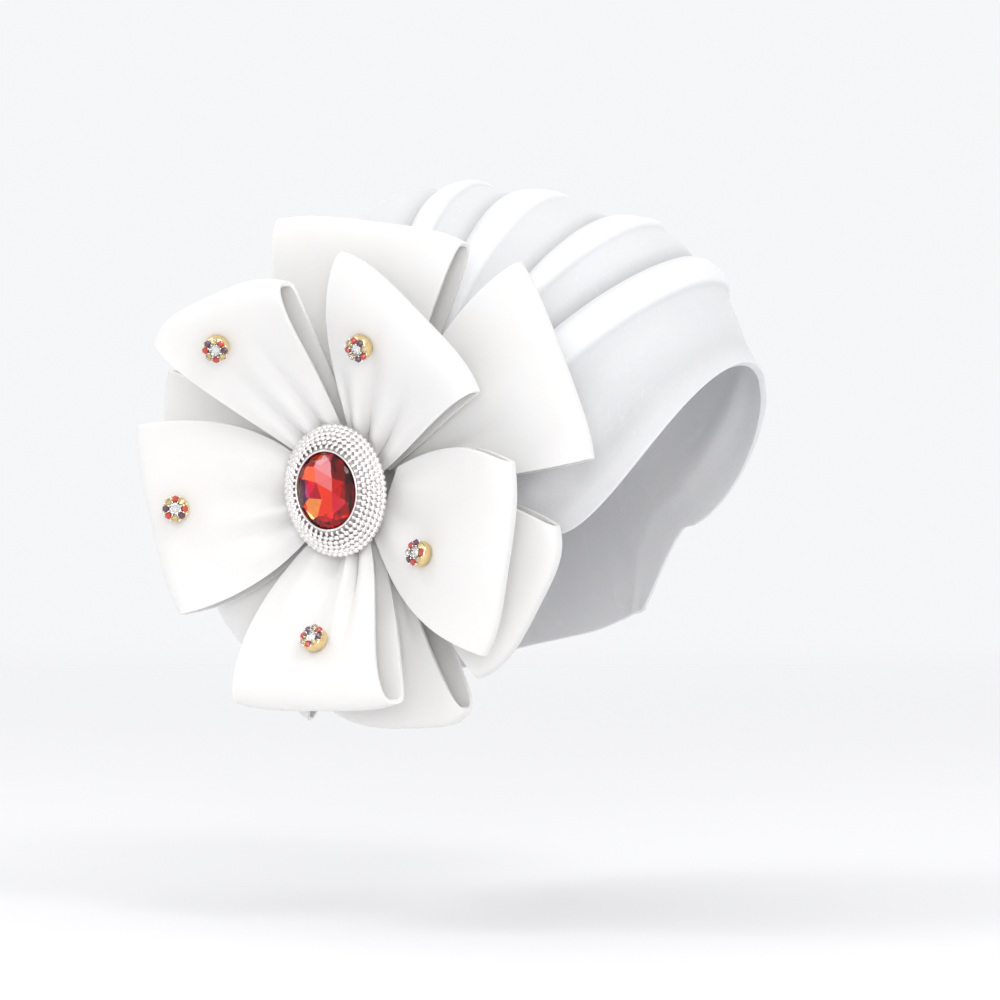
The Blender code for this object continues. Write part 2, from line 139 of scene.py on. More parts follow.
# Each row is a strip of cloth folded over into a loop, seen along the flower's axis. Angles are counted from the
# brow side upwards. The columns: the loop's direction and reach; for its clockwise and its other side the angle to
# the neighbour at the root, the half width at the fold and how soon that width is reached; how far the fold is
# turned from square; how much its corners draw back; how far its end is raised; half its opening; how much wider the
# back layer is, on the clockwise side if less than 0; and its base height.
LOOP_COLUMNS = (
    "direction", "reach", "sector_cw", "sector_ccw", "half_cw", "half_ccw", "widen_cw", "widen_ccw", "turn", "bow",
    "raise", "puff", "back_wider", "base",
)
LOOPS = {
    "front_1": (120.7, 92.0, 29.0, 24.0, 29.5, 29.3, 1.2, 1.3, 9.0, 7.5, 36.0, 7.5, -5.0, -0.45),
    "front_2": (60.3, 81.5, 28.5, 29.5, 35.5, 43.0, 1.1, 1.5, 14.0, 5.0, 22.0, 7.5, 0.0, -0.45),
    "front_3": (189.3, 79.0, 42.0, 33.0, 41.2, 38.0, 2.8, 2.2, -5.0, 4.0, 25.0, 7.5, 0.0, -0.05),
    "front_4": (-19.7, 82.0, 41.5, 49.5, 37.0, 39.5, 2.8, 3.0, -11.0, 4.0, 22.0, 6.5, 0.0, -0.45),
    "front_5": (-88.7, 86.0, 44.0, 25.0, 38.5, 27.0, 3.2, 1.2, 0.0, 3.0, 32.0, 7.5, 9.0, -0.45),
    "back_1": (84.5, 110.5, 21.5, 38.0, 37.0, 45.0, 1.2, 2.4, 2.0, 4.0, 8.0, 7.5, -4.0, -10.1),
    "back_2": (28.7, 105.5, 27.0, 33.0, 37.0, 47.0, 1.2, 1.7, 7.0, 3.0, 7.0, 6.5, 0.0, -9.9),
    "back_3": (-28.8, 92.0, 21.0, 27.0, 37.5, 32.0, 1.1, 2.2, 0.0, 8.0, 8.0, 7.5, 0.0, -9.8),
    "back_4": (-72.0, 99.0, 27.0, 21.0, 35.0, 17.0, 1.3, 1.1, 15.0, 7.0, 8.0, 7.5, 7.0, -10.1),
    "back_5": (-128.0, 80.5, 32.5, 27.5, 20.0, 41.0, 1.4, 1.1, 10.0, 2.0, 8.0, 6.5, 0.0, -10.1),
    "back_6": (165.0, 89.0, 39.0, 32.5, 28.0, 26.0, 1.4, 1.4, -14.0, 2.0, 10.0, 6.5, 0.0, -10.1),
}
LOOP_LENGTH_STEPS = 84
LOOP_WIDTH_STEPS = 44
# How boxy a loop's opening is, how fast it opens away from the root, how far it opens for its puff, and the share of
# the sector that its root fills.
OPENING_POWER = 0.55
OPENING_GROWTH = 0.8
OPENING_SCALE = 1.15
ROOT_FILL = 0.95
# How much closer a loop's rows lie round its fold, and within how many degrees of it.
FOLD_ROWS, FOLD_TURN = 3.0, 16.0
WAVE_SIZE = 22.0
# Points along a line that is divided evenly.
FINE_POINTS = 721

# Gathers pressed into a front layer where it is sewn down: where across it (-1 to 1), half width across, height, and
# the share of the reach where each has died away. They are deepest at GATHER_FULL of the reach.
GATHER_FULL = 0.18
GATHERS = {
    "front_1": (
        (-0.72, 0.17, 1.8, 0.60), (-0.34, 0.15, -3.2, 0.85), (0.02, 0.17, 2.2, 0.80), (0.38, 0.15, -3.0, 0.70),
        (0.74, 0.16, 1.8, 0.60),
    ),
    "front_2": (
        (-0.70, 0.17, 1.8, 0.60), (-0.30, 0.12, -3.2, 0.70), (0.02, 0.13, 2.2, 0.70), (0.32, 0.11, -3.6, 0.92),
        (0.58, 0.12, 2.4, 0.65), (0.84, 0.10, -2.0, 0.55),
    ),
    "front_3": (
        (-0.62, 0.20, 2.2, 0.70), (-0.16, 0.14, -3.6, 0.75), (0.08, 0.10, 2.2, 0.55), (0.32, 0.12, -3.4, 0.85),
        (0.68, 0.20, 2.2, 0.70),
    ),
    "front_4": ((-0.5, 0.22, 1.5, 0.55), (0.0, 0.20, -1.5, 0.6), (0.5, 0.22, 1.5, 0.55)),
    "front_5": (
        (-0.60, 0.16, 2.4, 0.70), (-0.22, 0.12, -3.6, 0.92), (0.06, 0.11, 2.6, 0.70), (0.34, 0.12, -3.6, 0.80),
        (0.68, 0.17, 2.2, 0.65),
    ),
}
BACK_GATHERS = ((-0.6, 0.18, 1.6, 0.7), (-0.2, 0.15, -1.8, 0.8), (0.2, 0.15, 1.8, 0.7), (0.6, 0.18, -1.8, 0.8))

# Brooch
BROOCH_CENTRE = (-3.4, 1.6)
BROOCH_BASE = 8.4
BROOCH_LEAN = 8.0
BROOCH_HALF = (23.0, 27.6)
SETTING_SEGMENTS = 96
SETTING_SECTION = (
    (0.00, 0.0), (0.90, 0.0), (0.955, 0.8), (0.94, 2.3), (0.865, 4.2), (0.785, 6.0), (0.705, 7.5), (0.650, 8.5),
    (0.620, 9.5), (0.590, 9.5), (0.575, 5.6), (0.00, 5.6),
)
# The setting's body, seen only down between the beads, is painted dark silver: painted shade and dark reflections
# between the beads.
RECESS_SHADE_COLOUR = (0.42, 0.39, 0.38)
# Rows of cast beads: share of the half widths, height, half sizes across and along the row, half thickness, stagger.
# The last row is the toothed edge round the stone.
BEAD_ROWS = (
    (0.950, 1.8, 1.42, 1.36, 1.10, 0.0), (0.900, 3.6, 1.36, 1.34, 1.05, 0.5), (0.838, 5.3, 1.34, 1.34, 1.05, 0.0),
    (0.774, 6.9, 1.30, 1.32, 1.00, 0.5), (0.708, 8.3, 1.22, 1.28, 0.95, 0.0), (0.645, 9.2, 1.30, 0.80, 1.00, 0.5),
)
BEAD_PITCH = 2.45
RING_SHARE = 0.588
RING_TOP = 9.9
RING_THICKNESS = 0.42
STONE_HALF = (12.7, 15.6)
STONE_GIRDLE = 9.3
STONE_RINGS = ((0.66, 3.4, 8, 0.0), (0.88, 2.2, 8, 0.5), (1.00, 0.3, 16, 0.0), (1.00, -0.3, 16, 0.0))
# Corners of the facets on the stone's back, seen from the front, and how deep its middle lies.
STONE_BACK = (
    (-4.3, 9.9), (2.8, 10.8), (2.6, 4.9), (-4.7, 3.9), (-8.6, 5.6), (-8.4, -2.0), (-3.1, -3.2), (1.8, -0.7),
    (7.2, 2.1), (1.1, -9.6), (7.0, -5.4), (-5.4, -9.4),
)
STONE_DEPTH = 2.7
# Spots on the stone's back and the tint of the facets nearest to each: painted reflections, from near black to pale
# pink and orange, that stand in for the light each facet throws back.
STONE_PAINTED_REFLECTIONS = (
    (-0.9, 8.4, (0.90, 0.50, 0.58)), (-0.4, 4.4, (0.92, 0.30, 0.32)), (-8.4, 8.0, (1.00, 0.22, 0.08)),
    (-7.0, 12.0, (0.42, 0.01, 0.02)), (-6.6, 2.2, (0.50, 0.01, 0.05)), (-10.0, -1.5, (0.10, 0.02, 0.07)),
    (-5.8, -6.6, (1.00, 0.48, 0.12)), (0.2, -4.4, (1.00, 0.08, 0.03)), (5.6, 8.8, (0.36, 0.00, 0.01)),
    (9.4, 4.0, (0.26, 0.00, 0.01)), (4.6, 1.0, (0.66, 0.01, 0.01)), (8.6, -2.2, (0.90, 0.07, 0.04)),
    (5.0, -8.0, (0.80, 0.03, 0.07)), (-2.6, -12.6, (0.50, 0.01, 0.03)),
)

# Studs: the loop each one sits on, its distance from the flower's centre and its offset across the loop.
STUD_SEATS = {
    1: ("front_1", 74.0, 6.0),
    2: ("front_2", 60.0, 17.0),
    3: ("front_3", 66.2, -4.4),
    4: ("front_4", 44.5, -9.8),
    5: ("front_5", 60.0, -3.8),
}
CLOTH = 1.8
STUD_LIFT = 0.52
STUD_SEGMENTS = 36
STUD_SECTION = (
    (0.0, 0.0), (4.6, 0.0), (5.1, 0.5), (5.3, 1.5), (5.25, 2.8), (4.9, 3.8), (4.3, 4.4), (3.4, 4.6), (2.6, 4.4),
    (2.4, 3.6), (0.0, 3.5),
)
STUD_CENTRE_RINGS = ((1.5, 6.2, 8, 0.0), (2.60, 5.1, 8, 0.5), (2.60, 4.7, 8, 0.5), (1.2, 3.7, 8, 0.0))
STUD_RING_RINGS = ((0.75, 1.25, 6, 0.0), (1.48, 0.45, 6, 0.5), (1.48, 0.15, 6, 0.5), (0.4, -0.7, 6, 0.0))
RING_STONES = 8
RING_RADIUS = 4.0
RING_HEIGHT = 4.5
# Claws between the small stones: further out or in than the ring, above it, and half size.
CLAWS = ((1.05, 0.45, 0.48), (-1.25, 0.95, 0.42))
# Which colour each small stone has, in order round the ring: 0 clear, 1 red, 2 dark. Clear ones have a mirror back.
RING_ORDER = (1, 0, 2, 1, 0, 2, 1, 0)
MIRROR_BACK = 3

# Studio: the camera's lens and shift, the floor, the background, and each light's name, place, size and power.
LENS = 152.28
SENSOR = 36.0
SHIFT = (-0.04, 0.045)
FLOOR_Z = -0.30
FLOOR_RADIUS = 2.4
FLOOR_FADE = (0.7, 2.3)
FLOOR_COLOUR = (0.86, 0.86, 0.87, 1.0)
BACKGROUND_COLOUR = (0.95, 0.955, 0.965, 1.0)
BACKGROUND_STRENGTH = 0.97
LIGHT_AIM = (0.0, 0.0, -0.1)
LIGHT_COLOUR = (1.0, 0.99, 0.98)
LIGHTS = (
    ("back light", (-0.75, 1.1, 1.5), 0.7, 6.0),
    ("brow light", (-0.8, -1.2, 1.3), 0.6, 7.0),
    ("front light", (-1.75, -0.75, 0.25), 0.8, 10.0),
)


class CapSettings(bpy.types.PropertyGroup):
    thickness: FloatProperty(
        name="Cloth thickness", description="Thickness of the cap's cloth", default=0.0018, unit="LENGTH",
    )
    colour: FloatVectorProperty(
        name="Colour", description="Base colour of the crepe", default=(0.765, 0.77, 0.785), size=3, subtype="COLOR",
    )
    sway: FloatProperty(
        name="Pleat sway", description="How much the pleats vary in height along their length", default=0.10,
        subtype="FACTOR",
    )


class FlowerSettings(bpy.types.PropertyGroup):
    thickness: FloatProperty(
        name="Cloth thickness", description="Thickness of the loops' cloth", default=0.0018, unit="LENGTH",
    )
    colour: FloatVectorProperty(
        name="Colour", description="Base colour of the loops", default=(0.755, 0.753, 0.75), size=3, subtype="COLOR",
    )
    softness: FloatProperty(
        name="Softness", description="Height of the slow waves in the loops", default=0.0005, unit="LENGTH",
    )


class BroochSettings(bpy.types.PropertyGroup):
    pitch: FloatProperty(
        name="Bead pitch", description="From bead to bead along a row", default=BEAD_PITCH * MM, unit="LENGTH",
    )
    silver: FloatVectorProperty(
        name="Silver", description="Colour of the setting", default=(0.95, 0.93, 0.93), size=3, subtype="COLOR",
    )
    red: FloatVectorProperty(
        name="Red", description="Colour of the cut stone", default=(0.98, 0.62, 0.58), size=3, subtype="COLOR",
    )


class StudSettings(bpy.types.PropertyGroup):
    stones: IntProperty(name="Ring stones", description="Small stones round each stud", default=RING_STONES)
    gold: FloatVectorProperty(
        name="Gold", description="Colour of the stud cups", default=(0.86, 0.66, 0.33), size=3, subtype="COLOR",
    )


class StudioSettings(bpy.types.PropertyGroup):
    azimuth: FloatProperty(
        name="Azimuth", description="Where the camera stands round the cap", default=math.radians(-67.0),
        subtype="ANGLE",
    )
    elevation: FloatProperty(
        name="Elevation", description="How high the camera stands", default=math.radians(1.5), subtype="ANGLE",
    )
    distance: FloatProperty(
        name="Distance", description="From the camera to the middle of the cap", default=1.8, unit="LENGTH",
    )


def settings():
    return bpy.context.scene.turban_cap


def smooth(low, high, value):
    share = np.clip((value - low) / (high - low), 0.0, 1.0)
    return share * share * (3.0 - 2.0 * share)


def steady_slope(before, here, after):
    """The curve's slope at a row, no steeper than lets it pass from row to row without turning back."""
    limit = 2.0 * np.minimum(np.abs(here - before), np.abs(after - here))
    return np.clip((after - before) / 2.0, -limit, limit)


def curve(t, start, leaving, end, arriving):
    """The cubic curve at share t of the way from start to end, with its slopes where it leaves and arrives."""
    return (
        (2.0 * t ** 3 - 3.0 * t ** 2 + 1.0) * start
        + (t ** 3 - 2.0 * t ** 2 + t) * leaving
        + (3.0 * t ** 2 - 2.0 * t ** 3) * end
        + (t ** 3 - t ** 2) * arriving
    )


def between(rows, places):
    """A table's columns at places between its rows, by a curve through the rows."""
    rows = np.asarray(rows, dtype=float)
    places = np.asarray(places, dtype=float)
    k = np.clip(np.floor(places).astype(int), 0, len(rows) - 2)
    t = (places - k)[:, None]
    longer = np.vstack((2.0 * rows[0] - rows[1], rows, 2.0 * rows[-1] - rows[-2]))
    before, here, there, after = (longer[k + n] for n in range(4))
    return curve(t, here, steady_slope(before, here, there), there, steady_slope(here, there, after))


def ripple(x, y, z):
    """Slow noise from -1 to 1 that is the same each run."""
    return noise.noise(Vector((x, y, z)))


def new_piece(name, bm, materials, replaced, is_smooth=True):
    """Finishes a piece: mesh, materials, shading, and its place in the frame."""
    for face in bm.faces:
        face.smooth = is_smooth
    mesh = bpy.data.meshes.new(name)
    bm.to_mesh(mesh)
    bm.free()
    for made in materials:
        mesh.materials.append(made)
    piece = bpy.data.objects.new(name, mesh)
    bpy.context.scene.collection.objects.link(piece)
    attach(piece, "root")
    if replaced:
        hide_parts(*replaced)
    return piece


def soften_edges(piece, width, angle):
    rounded = piece.modifiers.new("rounded edges", "BEVEL")
    rounded.width = width
    rounded.segments = 2
    rounded.limit_method = "ANGLE"
    rounded.angle_limit = math.radians(angle)
    rounded.harden_normals = True


def mapped_grid(points, layers=None):
    """A grid whose corners are moved to points[row][column], with an optional value for each corner kept in a float
    attribute; for the cap it holds its cloth's layering and the painted shade of its creases.
    """
    rows, columns = points.shape[0] - 1, points.shape[1] - 1
    bm = bmesh.new()
    bmesh.ops.create_grid(bm, x_segments=rows, y_segments=columns, size=1.0)
    mark = bm.verts.layers.float.new("layers") if layers is not None else None
    for vert in bm.verts:
        i = round((vert.co.x + 1.0) / 2.0 * rows)
        j = round((vert.co.y + 1.0) / 2.0 * columns)
        vert.co = points[i, j] * MM
        if mark:
            vert[mark] = layers[i, j]
    return bm


def shader_nodes(name, roughness, metallic=0.0):
    """A new material with its Principled shader, object coordinates and node tree."""
    made = bpy.data.materials.new(name)
    made.use_nodes = True
    tree = made.node_tree
    shader = tree.nodes["Principled BSDF"]
    shader.inputs["Roughness"].default_value = roughness
    shader.inputs["Metallic"].default_value = metallic
    place = tree.nodes.new("ShaderNodeTexCoord")
    return made, tree, shader, place.outputs["Object"]


def noise_texture(tree, vector, scale, detail=2.0, stretch=None):
    if stretch:
        mapping = tree.nodes.new("ShaderNodeMapping")
        mapping.inputs["Scale"].default_value = stretch
        tree.links.new(vector, mapping.inputs["Vector"])
        vector = mapping.outputs["Vector"]
    texture = tree.nodes.new("ShaderNodeTexNoise")
    texture.inputs["Scale"].default_value = scale
    texture.inputs["Detail"].default_value = detail
    tree.links.new(vector, texture.inputs["Vector"])
    return texture.outputs["Fac"]


def remap(tree, value, low, high, to_low=0.0, to_high=1.0):
    node = tree.nodes.new("ShaderNodeMapRange")
    node.inputs["From Min"].default_value = low
    node.inputs["From Max"].default_value = high
    node.inputs["To Min"].default_value = to_low
    node.inputs["To Max"].default_value = to_high
    tree.links.new(value, node.inputs["Value"])
    return node.outputs["Result"]


def mix_colours(tree, factor, first, second):
    node = tree.nodes.new("ShaderNodeMix")
    node.data_type = "RGBA"
    tree.links.new(factor, node.inputs[0])
    for socket, colour in ((node.inputs[6], first), (node.inputs[7], second)):
        if isinstance(colour, bpy.types.NodeSocket):
            tree.links.new(colour, socket)
        else:
            socket.default_value = (*colour, 1.0)
    return node.outputs[2]


def add_bump(tree, shader, height, depth, before=None):
    node = tree.nodes.new("ShaderNodeBump")
    node.inputs["Distance"].default_value = depth
    node.inputs["Strength"].default_value = 1.0
    tree.links.new(height, node.inputs["Height"])
    if before:
        tree.links.new(before, node.inputs["Normal"])
    tree.links.new(node.outputs["Normal"], shader.inputs["Normal"])
    return node.outputs["Normal"]


def let_light_through(shader):
    """Light spreads inside white cloth and comes out nearby."""
    shader.inputs["Subsurface Weight"].default_value = 0.6
    shader.inputs["Subsurface Radius"].default_value = (1.0, 0.95, 0.9)
    shader.inputs["Subsurface Scale"].default_value = 0.0025


def crepe_material():
    """Cool white stretch crepe: fine pebbled grain with short upright slubs."""
    colour = tuple(settings().cap.colour)
    made, tree, shader, place = shader_nodes("cap crepe", 0.82)
    slub = noise_texture(tree, place, 1.0, 1.0, (520.0, 520.0, 70.0))
    slub = remap(tree, slub, 0.62, 0.80)
    cloudy = noise_texture(tree, place, 28.0, 2.0)
    layers = tree.nodes.new("ShaderNodeAttribute")
    layers.attribute_name = "layers"
    layers = layers.outputs["Fac"]
    # Painted shade: darkest down in a crease and greyer on single cloth, whose grey is partly its one layer and partly
    # painted shade; whitest where a pleat lays the cloth double.
    crease_shade, single_with_shade, dense = (tuple(c * share for c in colour) for share in (CREASE_SHADE_TONE, SINGLE_AND_SHADE_TONE, 0.97))
    base = mix_colours(tree, remap(tree, layers, -1.0, 0.0), crease_shade, single_with_shade)
    base = mix_colours(tree, remap(tree, layers, 0.0, 1.0), base, colour)
    base = mix_colours(tree, remap(tree, cloudy, 0.3, 0.8, 0.0, 0.25), base, dense)
    base = mix_colours(tree, remap(tree, slub, 0.0, 1.0, 0.0, 0.22), base, colour)
    tree.links.new(base, shader.inputs["Base Color"])
    grain = noise_texture(tree, place, 1500.0, 2.0)
    normal = add_bump(tree, shader, grain, 0.00012)
    add_bump(tree, shader, slub, 0.00005, normal)
    shader.inputs["Sheen Weight"].default_value = 0.25
    shader.inputs["Sheen Roughness"].default_value = 0.5
    let_light_through(shader)
    return made


def bonded_material():
    """Warm white bonded cloth: smooth and thick, with a very fine knit."""
    colour = tuple(settings().flower.colour)
    made, tree, shader, place = shader_nodes("loop cloth", 0.74)
    cloudy = noise_texture(tree, place, 22.0, 2.0)
    warm = (colour[0] * 0.985, colour[1] * 0.975, colour[2] * 0.965)
    base = mix_colours(tree, remap(tree, cloudy, 0.3, 0.7), warm, colour)
    tree.links.new(base, shader.inputs["Base Color"])
    grain = noise_texture(tree, place, 2200.0, 1.0)
    add_bump(tree, shader, grain, 0.00005)
    shader.inputs["Sheen Weight"].default_value = 0.2
    shader.inputs["Sheen Roughness"].default_value = 0.45
    let_light_through(shader)
    return made


def metal_material(name, colour, roughness, grain_scale):
    made, tree, shader, place = shader_nodes(name, roughness, 1.0)
    cloudy = noise_texture(tree, place, grain_scale, 2.0)
    dark = tuple(c * 0.90 for c in colour)
    base = mix_colours(tree, remap(tree, cloudy, 0.35, 0.65), dark, colour)
    tree.links.new(base, shader.inputs["Base Color"])
    rough = remap(tree, cloudy, 0.3, 0.7, roughness * 0.7, roughness * 1.4)
    tree.links.new(rough, shader.inputs["Roughness"])
    return made


def stone_material(name, colour, transmission=1.0, index=1.6):
    made, tree, shader, place = shader_nodes(name, 0.02)
    cloudy = noise_texture(tree, place, 90.0, 1.0)
    dark = tuple(c * 0.93 for c in colour)
    base = mix_colours(tree, cloudy, dark, colour)
    tree.links.new(base, shader.inputs["Base Color"])
    shader.inputs["Transmission Weight"].default_value = transmission
    shader.inputs["IOR"].default_value = index
    return made


def foil_material(name):
    """The mirror back behind a cut stone, with a painted reflection tinted onto it facet by facet."""
    made, tree, shader, _place = shader_nodes(name, 0.08, 1.0)
    reflection_tint = tree.nodes.new("ShaderNodeVertexColor")
    reflection_tint.layer_name = "facet_painted_reflection"
    tree.links.new(reflection_tint.outputs["Color"], shader.inputs["Base Color"])
    return made


def arch_points(rows, column):
    """One column of points of the arches: from the side hem (0) up past the temple and over to the middle."""
    side, temple = rows[:, 0:3], rows[:, 3:6]
    middle = np.stack((np.zeros(len(rows)), rows[:, 6], rows[:, 7]), axis=1)
    if column <= WALL_STEPS:
        t = column / WALL_STEPS
        rise = middle - temple
        rise[:, 0] = 0.0
        away = temple - side
        rise *= (np.linalg.norm(away, axis=1) / np.linalg.norm(rise, axis=1))[:, None]
        return curve(t, side, away, temple, rise)
    turn = 0.5 * math.pi * (column - WALL_STEPS) / CROWN_STEPS
    rise_y = math.sin(turn) ** rows[:, 8]
    rise_z = math.sin(turn) ** rows[:, 9]
    return np.stack((
        temple[:, 0] * abs(math.cos(turn)),
        temple[:, 1] + (middle[:, 1] - temple[:, 1]) * rise_y,
        temple[:, 2] + (middle[:, 2] - temple[:, 2]) * rise_z,
    ), axis=1)


def cap_sections():
    """Even place, full place, height and share of its pleat's height of each fine row of the cap, front to back."""
    heights = [row[-1] for row in ARCHES.values()]
    last = len(ARCHES) - 1
    rows = [(0.0, 0.0, BROW_ROLL, BROW_SHARE)]
    for k in range(1, LAST_CREASE + 1):
        edge = FRONT_EDGE if k == 1 else LAST_EDGE if k == LAST_CREASE else PLEAT_EDGE
        for even, full, share in edge:
            rows.append((k + even, k + full, share * heights[k], share if k < LAST_CREASE else BACK_SHARE))
    for n in range(1, 2 * (last - LAST_CREASE) + 1):
        rows.append((LAST_CREASE + 0.5 * n, LAST_CREASE + 0.5 * n, 0.0, BACK_SHARE))
    places = []
    for n, (here, there) in enumerate(zip(rows, rows[1:])):
        steps = max(2, math.ceil((there[0] - here[0]) * ARCH_SPACING / ROW_STEP))
        places += [n + s / steps for s in range(steps)]
    return between(rows, places + [len(rows) - 1])


def cap_surface():
    """Outer and inner points of the cap, from the side hem of -X over the crown to the other, and for each point a
    value
    for its colour: -1 down in a crease, painted shade; 0 on single cloth; 1 where a pleat lays the cloth double.
    """
    table = [row[:-1] for row in ARCHES.values()]
    sections = cap_sections()
    half = WALL_STEPS + CROWN_STEPS
    columns = list(range(half + 1)) + list(range(half - 1, -1, -1))
    signs = [-1.0] * (half + 1) + [1.0] * half
    turns = [max(0.0, 90.0 * (column - WALL_STEPS) / CROWN_STEPS) for column in columns]
    even = between(table, sections[:, 0])
    base = np.stack([arch_points(even, column) * (sign, 1.0, 1.0) for column, sign in zip(columns, signs)], axis=1)
    normal = np.cross(np.gradient(base, axis=1), np.gradient(base, axis=0))
    normal /= np.linalg.norm(normal, axis=2, keepdims=True)
    if np.sum(normal * (base - CAP_MIDDLE)) < 0.0:
        normal = -normal
    outer = np.empty_like(base)
    inner = np.empty_like(base)
    layers = np.empty(base.shape[:2])
    # Painted shade in the colour: -1 down in a crease, 0 on single cloth, 1 where a pleat lays the cloth double.
    doubling_and_crease_shade = smooth(*DOUBLE_SHARES, sections[:, 3]) + smooth(*CREASE_SHADE_SHARES, sections[:, 3]) - 1.0
    sway = settings().cap.sway
    thickness = settings().cap.thickness / MM
    for j, (column, sign, turn) in enumerate(zip(columns, signs, turns)):
        fade = float(smooth(*PLEAT_FADE, turn))
        mixed = sections[:, 0] + fade * (sections[:, 1] - sections[:, 0])
        line = arch_points(between(table, mixed), column) * (sign, 1.0, 1.0)
        height = sections[:, 2] * fade
        pulled = np.zeros(len(sections))
        for i, place in enumerate(sections[:, 0]):
            height[i] *= 1.0 + sway * ripple(sign * turn / SWAY_TURN, round(place + 0.2) * SWAY_PLACE, 0.0)
            pulled[i] += DRAPE_HEIGHT * fade * ripple(sign * turn / DRAPE_TURN, place * DRAPE_PLACE, 5.0)
            for drag in DRAGS:
                d = dict(zip(DRAG_COLUMNS, drag))
                off = ((place - d["place"]) / d["place_half"]) ** 2 + ((turn - d["turn"]) / d["turn_half"]) ** 2
                pulled[i] += d["height"] * math.exp(-off)
        layers[:, j] = fade * doubling_and_crease_shade
        outer[:, j] = line + normal[:, j] * (height + pulled)[:, None]
        inner[:, j] = base[:, j] + normal[:, j] * (np.minimum(pulled, 0.0) - thickness)[:, None]
    return outer - SEAT, inner - SEAT, layers


def face_out(bm):
    bmesh.ops.recalc_face_normals(bm, faces=bm.faces)
    if bm.calc_volume(signed=True) < 0.0:
        bmesh.ops.reverse_faces(bm, faces=bm.faces)


def build_cap():
    outer, inner, layers = cap_surface()
    bm = mapped_grid(outer, layers)
    lining = mapped_grid(inner, np.zeros_like(layers))
    other = bpy.data.meshes.new("inner side")
    lining.to_mesh(other)
    lining.free()
    bm.from_mesh(other)
    bpy.data.meshes.remove(other)
    rims = [edge for edge in bm.edges if edge.is_boundary]
    bmesh.ops.bridge_loops(bm, edges=rims)
    face_out(bm)
    piece = new_piece("pleated_cap", bm, [crepe_material()], ["cap_shell"])
    soften_edges(piece, 0.0007, 50.0)


def from_flower(ahead, up, out):
    """Points given in the flower's own axes: towards the brow, up and outwards from the cap."""
    centre = FLOWER_CENTRE - SEAT
    return np.stack((centre[0] - out, centre[1] - ahead, centre[2] + up), axis=-1)


def loop_row(name):
    p = dict(zip(LOOP_COLUMNS, LOOPS[name]))
    p["root"] = FRONT_ROOT if name.startswith("front") else BACK_ROOT
    p["gathers"] = GATHERS.get(name, BACK_GATHERS)
    return p


def loop_half(p, reach, across):
    """Half the width of a loop's front layer on the side that across is on."""
    def one_side(side):
        root = ROOT_FILL * p["root"] * math.tan(math.radians(p["sector_" + side]))
        return root + (p["half_" + side] - root) * (1.0 - (1.0 - reach) ** p["widen_" + side])

    return np.where(across > 0.0, one_side("ccw"), one_side("cw"))


def loop_points(p, turns, across):
    """Points of a loop's middle surface: turn goes from the front root (0) round the fold to the back root (180)."""
    angle = np.radians(np.asarray(turns, dtype=float))[:, None]
    across = np.asarray(across, dtype=float)[None, :]
    reach = np.minimum(1.0, np.sin(angle))
    front = np.cos(angle)
    side = np.copysign(np.abs(front) ** OPENING_POWER, front)
    half = loop_half(p, reach, across)
    half = half + np.where(across * p["back_wider"] > 0.0, abs(p["back_wider"]) * reach * (1.0 - side) / 2.0, 0.0)
    offset = across * half
    away = p["root"] + (p["reach"] - p["root"]) * reach
    away = away + offset * math.tan(math.radians(p["turn"])) * reach ** 2 - p["bow"] * across ** 4 * reach ** 2
    height = p["base"] + p["raise"] * reach ** 2 * (3.0 - 2.0 * reach)
    height = height + side * (ROOT_GAP * (1.0 - reach) + OPENING_SCALE * p["puff"] * reach ** OPENING_GROWTH)
    layer = smooth(-0.2, 0.5, side)
    for middle, half_width, tall, gone in p["gathers"]:
        fold = layer * smooth(-0.05, GATHER_FULL, reach) * (1.0 - smooth(GATHER_FULL, gone, reach))
        height = height + tall * fold * np.exp(-((across - middle) / half_width) ** 2)
    direction = math.radians(p["direction"])
    ahead = away * math.cos(direction) - offset * math.sin(direction)
    up = away * math.sin(direction) + offset * math.cos(direction)
    return from_flower(ahead, up, height)


def even_turns(p, steps):
    """Turns that divide the middle line of a loop into shares that are shorter round the fold."""
    fine = np.linspace(0.0, 180.0, FINE_POINTS)
    line = loop_points(p, fine, [0.0])[:, 0]
    gaps = np.linalg.norm(np.diff(line, axis=0), axis=1)
    weight = 1.0 + FOLD_ROWS * np.exp(-((fine[:-1] - 90.0) / FOLD_TURN) ** 2)
    walked = np.concatenate(((0.0,), np.cumsum(gaps * weight)))
    return np.interp(np.linspace(0.0, walked[-1], steps + 1), walked, fine)


def build_loop(name, cloth):
    p = loop_row(name)
    points = loop_points(p, even_turns(p, LOOP_LENGTH_STEPS), np.linspace(-1.0, 1.0, LOOP_WIDTH_STEPS + 1))
    wave = settings().flower.softness / MM
    for i in range(points.shape[0]):
        for j in range(points.shape[1]):
            x, y, z = points[i, j] / WAVE_SIZE
            points[i, j, 0] += wave * ripple(x * 0.4, y, z + 3.0 * len(name))
    bm = mapped_grid(points)
    piece = new_piece(f"loop_{name}", bm, [cloth], [f"petal_{name}"])
    wall = piece.modifiers.new("cloth", "SOLIDIFY")
    wall.thickness = settings().flower.thickness
    wall.offset = 0.0
    wall.use_even_offset = True
    wall.use_quality_normals = True
    soften_edges(piece, 0.0006, 60.0)


def ellipse_steps(half, count, stagger):
    """Angles that divide an oval's edge evenly."""
    fine = np.linspace(0.0, math.tau, FINE_POINTS)
    line = np.stack((half[0] * np.cos(fine), half[1] * np.sin(fine)), axis=1)
    walked = np.concatenate(((0.0,), np.cumsum(np.linalg.norm(np.diff(line, axis=0), axis=1))))
    return np.interp((np.arange(count) + stagger) / count * walked[-1], walked, fine)


